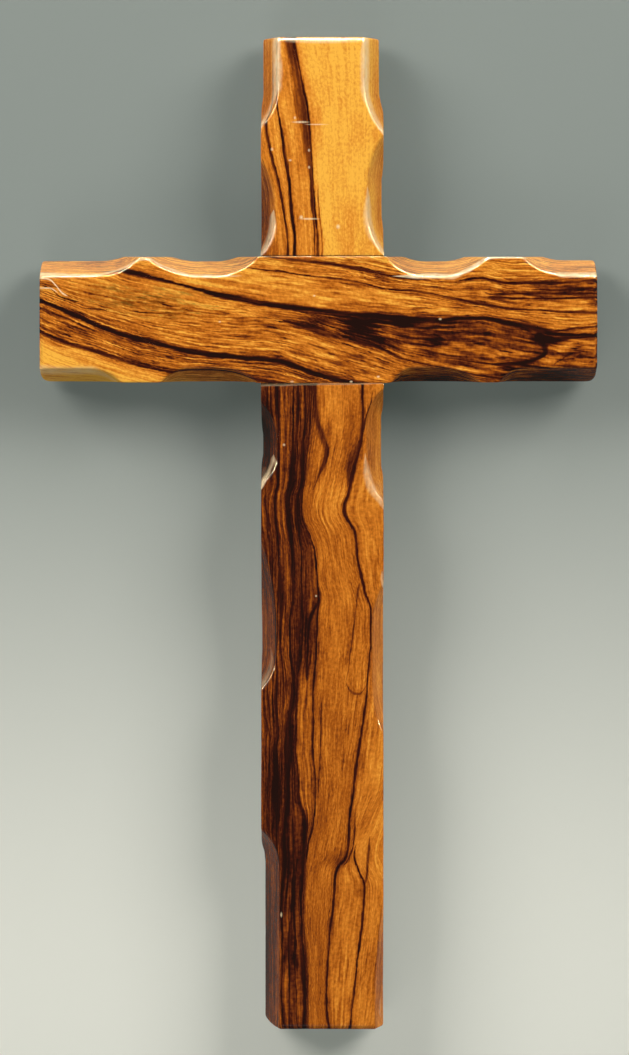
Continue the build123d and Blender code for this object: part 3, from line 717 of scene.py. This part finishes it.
def olive_wood(name, figure):
    """Olive wood, planed and carved, under brushed gloss lacquer.

    Growth lines nearly black on amber run along the bar with brown stripes beside them, fibres and short
    dark flecks lie between, and the clear lacquer mirrors lamps and, seen along a facet, the backdrop. The
    fibres are really finer than a tenth of a millimetre and are drawn four tenths broad so that they show.
    """
    finish = bpy.context.scene.wood_finish
    material, tree, output = new_material(name)
    where = add_node(tree, "TexCoord")
    facing = where.outputs["Normal"]
    grain = add_node(tree, "Mapping", {"Vector": where.outputs["Object"], **figure["to_grain"]})
    across, along, depth = add_node(tree, "SeparateXYZ", {0: grain}).outputs

    # The growth layers fan out towards the back and wander a little, so that lines have feathered edges
    middle = figure["middle"]
    aside = add_node(tree, "Math", {0: across, 1: middle}, operation="SUBTRACT")
    fan = add_node(tree, "Math", {0: depth, 1: LAYER_FAN, 2: 1}, operation="MULTIPLY_ADD")
    bend = add_node(tree, "Math", {0: aside, 1: fan, 2: middle}, operation="MULTIPLY_ADD")
    for breadth, length, throw in WANDERS:
        wander = grain_noise(tree, grain, breadth, length, (0.2, 0.8), (-throw, throw))
        bend = add_node(tree, "Math", {0: bend, 1: wander}, operation="ADD")

    # Growth lines swell, thin out and pale along their way
    swell = grain_noise(tree, grain, *SWELL_CELL, (0.3, 0.7), figure["swell"])
    lines = drawn_lines(tree, along, bend, swell, figure["lines"])
    strokes = drawn_lines(tree, along, bend, swell, figure["strokes"])
    bends = drawn_lines(tree, across, along, swell, figure["bends"])
    dark = 0
    margin = 0
    for _, _, line_core, line_margin in lines + strokes + bends:
        dark = add_node(tree, "Math", {0: line_core, 1: dark}, operation="MAXIMUM")
        margin = add_node(tree, "Math", {0: line_margin, 1: margin}, operation="MAXIMUM")

    # Patterns drawn out along the growth layers
    layer = layer_across(tree, lines, figure["bands"])
    flow = add_node(tree, "CombineXYZ", {0: layer, 1: along, 2: depth})
    patterns = {key: grain_noise(tree, flow, *cells) for key, cells in GRAIN_PATTERNS.items()}

    # Tone and stripes across the layers, near the bar's start and near its end, and patches
    turn_start, turn_end = figure["turn"]
    turn = add_node(
        tree, "MapRange", {"Value": along, 1: turn_start, 2: turn_end, 3: 0, 4: 1},
        interpolation_type="SMOOTHSTEP")
    tone = layer_profile(tree, layer, turn, *figure["tones"])
    striped = layer_profile(tree, layer, turn, *figure["stripes"])
    for *place, shift in figure["patches"]:
        radius = oval(tree, grain, place, 0)
        frayed = add_node(
            tree, "Math", {0: patterns["streak"], 1: FRAYING, 2: radius}, operation="MULTIPLY_ADD")
        patch = add_node(
            tree, "MapRange", {"Value": frayed, 1: 0, 2: 1.3, 3: shift, 4: 0},
            interpolation_type="SMOOTHSTEP")
        tone = add_node(tree, "Math", {0: tone, 1: patch}, operation="ADD")

    # Stripes, streaks, fibres, flecks and clouds. Clear wood shows few fibres and flecks.
    pored = add_node(tree, "MapRange", {"Value": tone, 1: 0.05, 2: 0.3, 3: 0.15, 4: 1})
    fleck = add_node(tree, "Math", {0: patterns["dash"], 1: patterns["cluster"]}, operation="MULTIPLY")
    fleck = add_node(tree, "Math", {0: fleck, 1: pored}, operation="MULTIPLY")
    fine = add_node(tree, "Math", {0: patterns["fibre"], 1: pored}, operation="MULTIPLY")
    for key, weight in (("stripe", 0.26), ("fine_stripe", 0.24)):
        lift = add_node(tree, "Math", {0: patterns[key], 1: striped}, operation="MULTIPLY")
        tone = add_node(tree, "Math", {0: lift, 1: weight, 2: tone}, operation="MULTIPLY_ADD")
    coarse = figure["coarseness"]
    for pattern, weight in (
        (patterns["streak"], 0.12 * coarse), (fine, 0.28 * coarse), (fleck, 0.16 * coarse),
        (patterns["mottle"], 0.2), (patterns["cloud"], 0.16),
    ):
        tone = add_node(tree, "Math", {0: pattern, 1: weight, 2: tone}, operation="MULTIPLY_ADD")
    stain = add_node(tree, "Math", {0: margin, 1: patterns["fade"]}, operation="MULTIPLY")
    tone = add_node(tree, "Math", {0: stain, 1: MARGIN_SHIFT, 2: tone}, operation="MULTIPLY_ADD")
    ink = add_node(tree, "Math", {0: dark, 1: patterns["fade"]}, operation="MULTIPLY", use_clamp=True)
    tone = add_node(tree, "Mix", {0: ink, 2: tone, 3: 1}, data_type="FLOAT")

    # End grain drinks the lacquer and is darker
    end_on = add_node(tree, "VectorMath", {0: facing, 1: figure["end_axis"]}, operation="DOT_PRODUCT")
    square_on = add_node(tree, "Math", {0: end_on.outputs["Value"]}, operation="ABSOLUTE")
    end_grain = add_node(tree, "MapRange", {"Value": square_on, 1: 0.75, 2: 0.95, 3: 0, 4: END_GRAIN_SHIFT})
    tone = add_node(tree, "Math", {0: tone, 1: end_grain}, operation="ADD")

    colour = smudged(tree, tone_ramp(tree, tone), grain, patterns, figure["smudges"])
    colour = marked_and_highlighted(tree, colour, grain, facing, swell, figure)
    relief = add_node(
        tree, "Bump", {"Strength": 0.2, "Distance": FIBRE_RELIEF, "Height": patterns["fibre"]})
    ripple = grain_noise(tree, grain, *RIPPLE_CELL, (0.2, 0.8), (0, 1))
    gloss = add_node(tree, "Bump", {"Strength": 0.3, "Distance": RIPPLE_RELIEF, "Height": ripple})
    skin = add_node(
        tree, "BsdfPrincipled",
        {"Base Color": colour, "Roughness": 0.5, "Specular IOR Level": 0, "Normal": relief,
         "Coat Weight": finish.lacquer_weight, "Coat Roughness": finish.lacquer_roughness, "Coat IOR": 1.5,
         "Coat Normal": gloss})
    tree.links.new(skin.outputs[0], output.inputs["Surface"])
    return material


def tumbled_brass(name):
    """Stamped brass, tumbled bright and dulled again in its hollows: a soft yellow metal gloss."""
    finish = bpy.context.scene.hanger_finish
    material, tree, output = new_material(name)
    where = add_node(tree, "TexCoord")
    cloud = add_node(tree, "TexNoise", {"Vector": where.outputs["Object"], "Scale": 1 / TARNISH_CLOUD})
    patch = add_node(tree, "MapRange", {"Value": cloud, 1: 0.45, 2: 0.75, 3: 0, 4: 0.7})
    colour = add_node(
        tree, "Mix", {0: patch, 6: (*finish.brass, 1), 7: (*finish.tarnish, 1)}, data_type="RGBA")
    dullness = add_node(tree, "MapRange", {"Value": cloud, 1: 0.3, 2: 0.8, 3: 0.22, 4: 0.45})
    skin = add_node(
        tree, "BsdfPrincipled",
        {"Base Color": colour.outputs[2], "Metallic": 1, "Roughness": dullness})
    tree.links.new(skin.outputs[0], output.inputs["Surface"])
    return material


def cured_glue(name):
    """Wood glue, squeezed out and set: clear amber, smooth and glossy."""
    finish = bpy.context.scene.glue_finish
    material, tree, output = new_material(name)
    where = add_node(tree, "TexCoord")
    cloud = add_node(tree, "TexNoise", {"Vector": where.outputs["Object"], "Scale": 1 / GLUE_CLOUD})
    colour = add_node(
        tree, "Mix",
        {0: cloud, 6: (*finish.thick_glue, 1), 7: (*finish.thin_glue, 1)}, data_type="RGBA")
    skin = add_node(
        tree, "BsdfPrincipled", {"Base Color": colour.outputs[2], "Roughness": 0.2, "IOR": 1.48})
    tree.links.new(skin.outputs[0], output.inputs["Surface"])
    return material


def painted_board(name):
    """Board rolled with matt paint: no gloss, painted paler towards the foot as a gradient of light, and
    clear to lamps and from behind.
    """
    stage = bpy.context.scene.cross_stage
    material, tree, output = new_material(name)
    where = add_node(tree, "TexCoord")
    height = add_node(tree, "SeparateXYZ", {0: where.outputs["Object"]})
    # Painted light: the board's colour grows paler from the crossbar down to the foot
    grade = add_node(
        tree, "MapRange",
        {"Value": height.outputs["Z"], 1: BAR_HIGH.z, 2: UPRIGHT_LOW.z, 3: 0, 4: 1},
        interpolation_type="SMOOTHSTEP")
    tone = add_node(
        tree, "Mix",
        {0: grade, 6: (*stage.backdrop_top, 1), 7: (*stage.backdrop_foot, 1)}, data_type="RGBA")
    board = add_node(
        tree, "BsdfPrincipled",
        {"Base Color": tone.outputs[2], "Roughness": 0.8, "Specular IOR Level": 0})
    clear = add_node(tree, "BsdfTransparent")
    side = add_node(tree, "NewGeometry")
    path = add_node(tree, "LightPath")
    see_through = add_node(
        tree, "Math",
        {0: side.outputs["Backfacing"], 1: path.outputs["Is Shadow Ray"]}, operation="MAXIMUM")
    mixed = add_node(tree, "MixShader", {0: see_through, 1: board, 2: clear})
    tree.links.new(mixed.outputs[0], output.inputs["Surface"])
    return material


def studio_room(name):
    """The room round the stage: even light, and paler walls where they are seen or mirrored."""
    stage = bpy.context.scene.cross_stage
    world = bpy.data.worlds.new(name)
    world.use_nodes = True
    tree = world.node_tree
    tree.nodes.clear()
    path = add_node(tree, "LightPath")
    seen = path.outputs["Is Camera Ray"]
    for ray in ("Is Glossy Ray", "Is Transmission Ray"):
        seen = add_node(tree, "Math", {0: seen, 1: path.outputs[ray]}, operation="MAXIMUM")
    strength = add_node(tree, "MapRange", {"Value": seen, 3: stage.room_light, 4: stage.room_tone})
    room = add_node(tree, "Background", {"Color": (*stage.room_colour, 1), "Strength": strength})
    add_node(tree, "OutputWorld", {"Surface": room})
    return world


def copy_of_solid(name, node):
    """A merged copy of a solid's mesh, as the only selected object."""
    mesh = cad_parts[node].data.copy()
    mesh.name = name
    mesh.materials.clear()
    piece = bpy.data.objects.new(name, mesh)
    bpy.context.scene.collection.objects.link(piece)
    bpy.ops.object.select_all(action="DESELECT")
    piece.select_set(True)
    bpy.context.view_layer.objects.active = piece
    bpy.ops.object.mode_set(mode="EDIT")
    bpy.ops.mesh.select_all(action="SELECT")
    bpy.ops.mesh.remove_doubles(threshold=MERGE_GAP)
    bpy.ops.object.mode_set(mode="OBJECT")
    return piece


def apply_modifier(piece, kind, **settings):
    """Adds a modifier with its settings and applies it."""
    modifier = piece.modifiers.new(kind.title(), kind)
    for name, value in settings.items():
        setattr(modifier, name, value)
    bpy.ops.object.modifier_apply(modifier=modifier.name)


def hand_worked(piece, cell, stays_crisp, is_covered):
    """Eases arrises as sanding does and hollows the faces, but for what the joint keeps crisp or covers."""
    shape = bpy.context.scene.bar_shape
    apply_modifier(piece, "REMESH", mode="VOXEL", voxel_size=cell)
    for name, leaves_out in (("sanded", stays_crisp), ("hollowed", is_covered)):
        group = piece.vertex_groups.new(name=name)
        group.add([v.index for v in piece.data.vertices if not leaves_out(v.co)], 1, "REPLACE")
    apply_modifier(piece, "SMOOTH", factor=0.5, iterations=shape.easing, vertex_group="sanded")
    for depth, breadth in (
        (shape.waviness, shape.waviness_size), (shape.raggedness, shape.raggedness_size),
    ):
        clouds = bpy.data.textures.new(piece.name + "_hollows", "CLOUDS")
        clouds.noise_scale = breadth
        apply_modifier(
            piece, "DISPLACE", texture=clouds, texture_coords="LOCAL", mid_level=1, strength=depth,
            vertex_group="hollowed")
    piece.vertex_groups.clear()
    triangles = sum(len(face.vertices) - 2 for face in piece.data.polygons)
    apply_modifier(piece, "DECIMATE", ratio=min(1, shape.triangles / triangles))
    bpy.ops.object.shade_smooth()


def hand_over(piece, material, body, node):
    """Finishes a piece: its material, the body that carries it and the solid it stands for."""
    piece.data.materials.clear()
    piece.data.materials.append(material)
    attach(piece, body)
    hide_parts(node)


class CROSS_OT_upright(bpy.types.Operator):
    """Make the upright, housed across its front for the crossbar"""

    bl_idname = "wall_cross.upright"
    bl_label = "Upright"

    def execute(self, context):
        shape = context.scene.bar_shape
        low = BAR_LOW.z - shape.seam_margin
        high = BAR_HIGH.z + shape.seam_margin
        behind = FRONT + shape.seam_margin / 2

        def by_joint(spot):
            return low < spot.z < high

        def in_housing(spot):
            return by_joint(spot) and spot.y > behind

        piece = copy_of_solid("upright_bar", "upright")
        hand_worked(piece, shape.upright_grain, by_joint, in_housing)
        wood = olive_wood("lacquered_olive_upright", {
            "to_grain": {
                "Location": (0, UPRIGHT_HIGH.z / MM, -FRONT / MM),
                "Rotation": (pi / 2, 0, 0),
                "Scale": (1 / MM, 1 / MM, 1 / MM),
            },
            "middle": 0, "end_axis": (0, 0, 1), "swell": UPRIGHT_SWELL, "coarseness": UPRIGHT_COARSENESS,
            "lines": UPRIGHT_LINES, "strokes": UPRIGHT_STROKES, "bends": UPRIGHT_BENDS,
            "bands": UPRIGHT_BANDS, "tones": UPRIGHT_TONES, "stripes": UPRIGHT_STRIPES,
            "turn": UPRIGHT_TURN, "patches": UPRIGHT_PATCHES, "smudges": (),
            "marks": UPRIGHT_MARKS, "rims": UPRIGHT_RIM_HIGHLIGHTS,
        })
        hand_over(piece, wood, "cross", "upright")
        piece.visible_diffuse = False   # its warm sides would tint the backdrop
        return {"FINISHED"}


class CROSS_OT_crossbar(bpy.types.Operator):
    """Make the crossbar, notched behind to straddle the upright"""

    bl_idname = "wall_cross.crossbar"
    bl_label = "Crossbar"

    def execute(self, context):
        shape = context.scene.bar_shape
        reach = UPRIGHT_HIGH.x + shape.seam_margin
        low = BAR_LOW.z + shape.seam_margin
        high = BAR_HIGH.z - shape.seam_margin

        def by_joint(spot):
            return abs(spot.x) < reach and not low < spot.z < high

        piece = copy_of_solid("crossbar_bar", "crossbar")
        hand_worked(piece, shape.crossbar_grain, by_joint, by_joint)
        wood = olive_wood("lacquered_olive_crossbar", {
            "to_grain": {
                "Location": (BAR_HIGH.z / MM, -BAR_LOW.x / MM, -FRONT / MM),
                "Rotation": (pi / 2, 0, pi / 2),
                "Scale": (1 / MM, 1 / MM, -1 / MM),
            },
            "middle": (BAR_HIGH.z - BAR_LOW.z) / MM / 2, "end_axis": (1, 0, 0),
            "swell": CROSSBAR_SWELL, "coarseness": CROSSBAR_COARSENESS,
            "lines": CROSSBAR_LINES, "strokes": CROSSBAR_STROKES, "bends": CROSSBAR_BENDS,
            "bands": CROSSBAR_BANDS, "tones": CROSSBAR_TONES, "stripes": CROSSBAR_STRIPES,
            "turn": CROSSBAR_TURN, "patches": CROSSBAR_PATCHES, "smudges": CROSSBAR_SMUDGES,
            "marks": CROSSBAR_MARKS, "rims": CROSSBAR_SPLINTERS_AND_HIGHLIGHTS,
        })
        hand_over(piece, wood, "cross", "crossbar")
        piece.visible_diffuse = False   # its warm sides would tint the backdrop
        return {"FINISHED"}


class CROSS_OT_lap_glue(bpy.types.Operator):
    """Make the film of cured glue in the halving joint"""

    bl_idname = "wall_cross.lap_glue"
    bl_label = "Lap Glue"

    def execute(self, context):
        piece = copy_of_solid("glue_film", "lap_glue")
        hand_over(piece, cured_glue("cured_wood_glue"), "cross", "lap_glue")
        return {"FINISHED"}


class CROSS_OT_hanger(bpy.types.Operator):
    """Make the strap, the ring and the nail of the hanger"""

    bl_idname = "wall_cross.hanger"
    bl_label = "Ring Hanger"

    def execute(self, context):
        finish = context.scene.hanger_finish
        brass = tumbled_brass("tumbled_brass")
        for name, node, body, slot in (
            ("strap", "hanger_strap", "cross", "hanger_brass"),
            ("nail", "hanger_nail", "cross", "hanger_brass"),
            ("ring", "hanger_ring", "ring", "ring_brass"),
        ):
            piece = copy_of_solid("brass_" + name, node)
            bpy.ops.object.mode_set(mode="EDIT")
            bpy.ops.mesh.select_all(action="SELECT")
            bpy.ops.mesh.dissolve_limited(angle_limit=FLAT_ANGLE)
            bpy.ops.object.mode_set(mode="OBJECT")
            apply_modifier(
                piece, "BEVEL", width=finish.edge_radius, segments=2, limit_method="ANGLE",
                angle_limit=EDGE_ANGLE)
            bpy.ops.object.shade_smooth_by_angle(angle=SHADE_ANGLE)
            hand_over(piece, brass, body, node)
        return {"FINISHED"}


class CROSS_OT_stage(bpy.types.Operator):
    """Set up the backdrop, the studio light and the camera"""

    bl_idname = "wall_cross.stage"
    bl_label = "Stage"

    def execute(self, context):
        stage = context.scene.cross_stage
        centre = Vector((
            (BAR_LOW.x + BAR_HIGH.x) / 2 + AIM_RIGHT, FRONT, (UPRIGHT_LOW.z + UPRIGHT_HIGH.z) / 2 + AIM_UP))

        # Backdrop just behind the hanger, seen from its front only
        bpy.ops.object.select_all(action="DESELECT")
        wall_place = (0, CAD_BOUNDS[1].y + stage.backdrop_gap, centre.z)
        bpy.ops.mesh.primitive_plane_add(
            size=stage.backdrop_size, location=wall_place, rotation=(pi / 2, 0, 0))
        wall = context.active_object
        wall.name = "backdrop"
        bpy.ops.object.transform_apply(location=True, rotation=True, scale=True)
        wall.data.materials.append(painted_board("matt_grey_board"))

        # Soft lamps above the head, at each side and low at the left, and strips that only draw the gloss of
        # the arrises: power, width, height and place
        for name, power, width, height, place in (
            ("overhead_lamp", stage.overhead_power, 0.7, 0.4, (-0.1, -0.2, 0.8)),
            ("left_lamp", stage.left_power, 0.9, 0.9, (-1.2, -1, 0.86)),
            ("right_lamp", stage.right_power, 0.9, 0.9, (1.2, -1, 0.86)),
            ("low_lamp", stage.low_power, 0.9, 0.5, (-0.35, -0.8, -0.95)),
            ("top_strip", stage.strip_power, 1.6, 0.12, (0, -0.08, 0.8)),
            ("left_strip", stage.strip_power / 4, 0.12, 0.9, (-0.62, -0.08, 0.4)),
            ("right_strip", stage.strip_power / 4, 0.12, 0.9, (0.62, -0.08, 0.4)),
        ):
            bpy.ops.object.light_add(type="AREA", location=place)
            lamp = context.active_object
            lamp.name = name
            lamp.data.energy = power
            lamp.data.shape = "RECTANGLE"
            lamp.data.size = width
            lamp.data.size_y = height
            lamp.rotation_euler = (centre - lamp.location).to_track_quat("-Z", "Y").to_euler()
            if name.endswith("strip"):
                lamp.data.color = stage.strip_tone
                lamp.visible_diffuse = False

        # A sun behind the backdrop, which lets its light through, shows the back to views from there
        bpy.ops.object.light_add(type="SUN", rotation=(-pi / 2, 0, 0))
        sun = context.active_object
        sun.name = "back_sun"
        sun.data.energy = stage.back_sun
        sun.data.angle = radians(10)
        sun.visible_glossy = False
        context.scene.world = studio_room("studio_room")

        # The camera is level with the crossbar's top and looks a little down at the middle
        eye = Vector((centre.x, FRONT - stage.view_distance, BAR_HIGH.z))
        gaze = centre - eye
        bpy.ops.object.camera_add(location=eye, rotation=gaze.to_track_quat("-Z", "Y").to_euler())
        camera = context.active_object
        camera.name = "front_camera"
        camera.data.sensor_width = 36
        camera.data.lens = camera.data.sensor_width * gaze.length / stage.view_height
        camera.data.clip_end = 20
        context.scene.camera = camera
        context.scene.view_settings.view_transform = "Standard"
        return {"FINISHED"}


class CROSS_PT_sidebar(bpy.types.Panel):
    """Lists the pieces of the wall cross"""

    bl_idname = "CROSS_PT_sidebar"
    bl_label = "Wall Cross"
    bl_space_type = "VIEW_3D"
    bl_region_type = "UI"
    bl_category = "Wall Cross"

    def draw(self, context):
        for operator in OPERATORS:
            self.layout.operator(operator.bl_idname)
        for settings in SETTINGS:
            group = getattr(context.scene, settings)
            for name in group.bl_rna.properties.keys():
                if name not in ("rna_type", "name"):
                    self.layout.prop(group, name)


SETTINGS = {
    "wood_finish": WoodFinish,
    "bar_shape": BarShape,
    "glue_finish": GlueFinish,
    "hanger_finish": HangerFinish,
    "cross_stage": StageSettings,
}
OPERATORS = (CROSS_OT_upright, CROSS_OT_crossbar, CROSS_OT_lap_glue, CROSS_OT_hanger, CROSS_OT_stage)


def register():
    for settings, group in SETTINGS.items():
        bpy.utils.register_class(group)
        setattr(bpy.types.Scene, settings, PointerProperty(type=group))
    for cls in (*OPERATORS, CROSS_PT_sidebar):
        bpy.utils.register_class(cls)


def unregister():
    for cls in (CROSS_PT_sidebar, *reversed(OPERATORS)):
        bpy.utils.unregister_class(cls)
    for settings, group in SETTINGS.items():
        delattr(bpy.types.Scene, settings)
        bpy.utils.unregister_class(group)


def main():
    register()
    bpy.ops.wall_cross.upright()
    bpy.ops.wall_cross.crossbar()
    bpy.ops.wall_cross.lap_glue()
    bpy.ops.wall_cross.hanger()
    bpy.ops.wall_cross.stage()


if __name__ == "__main__":
    main()
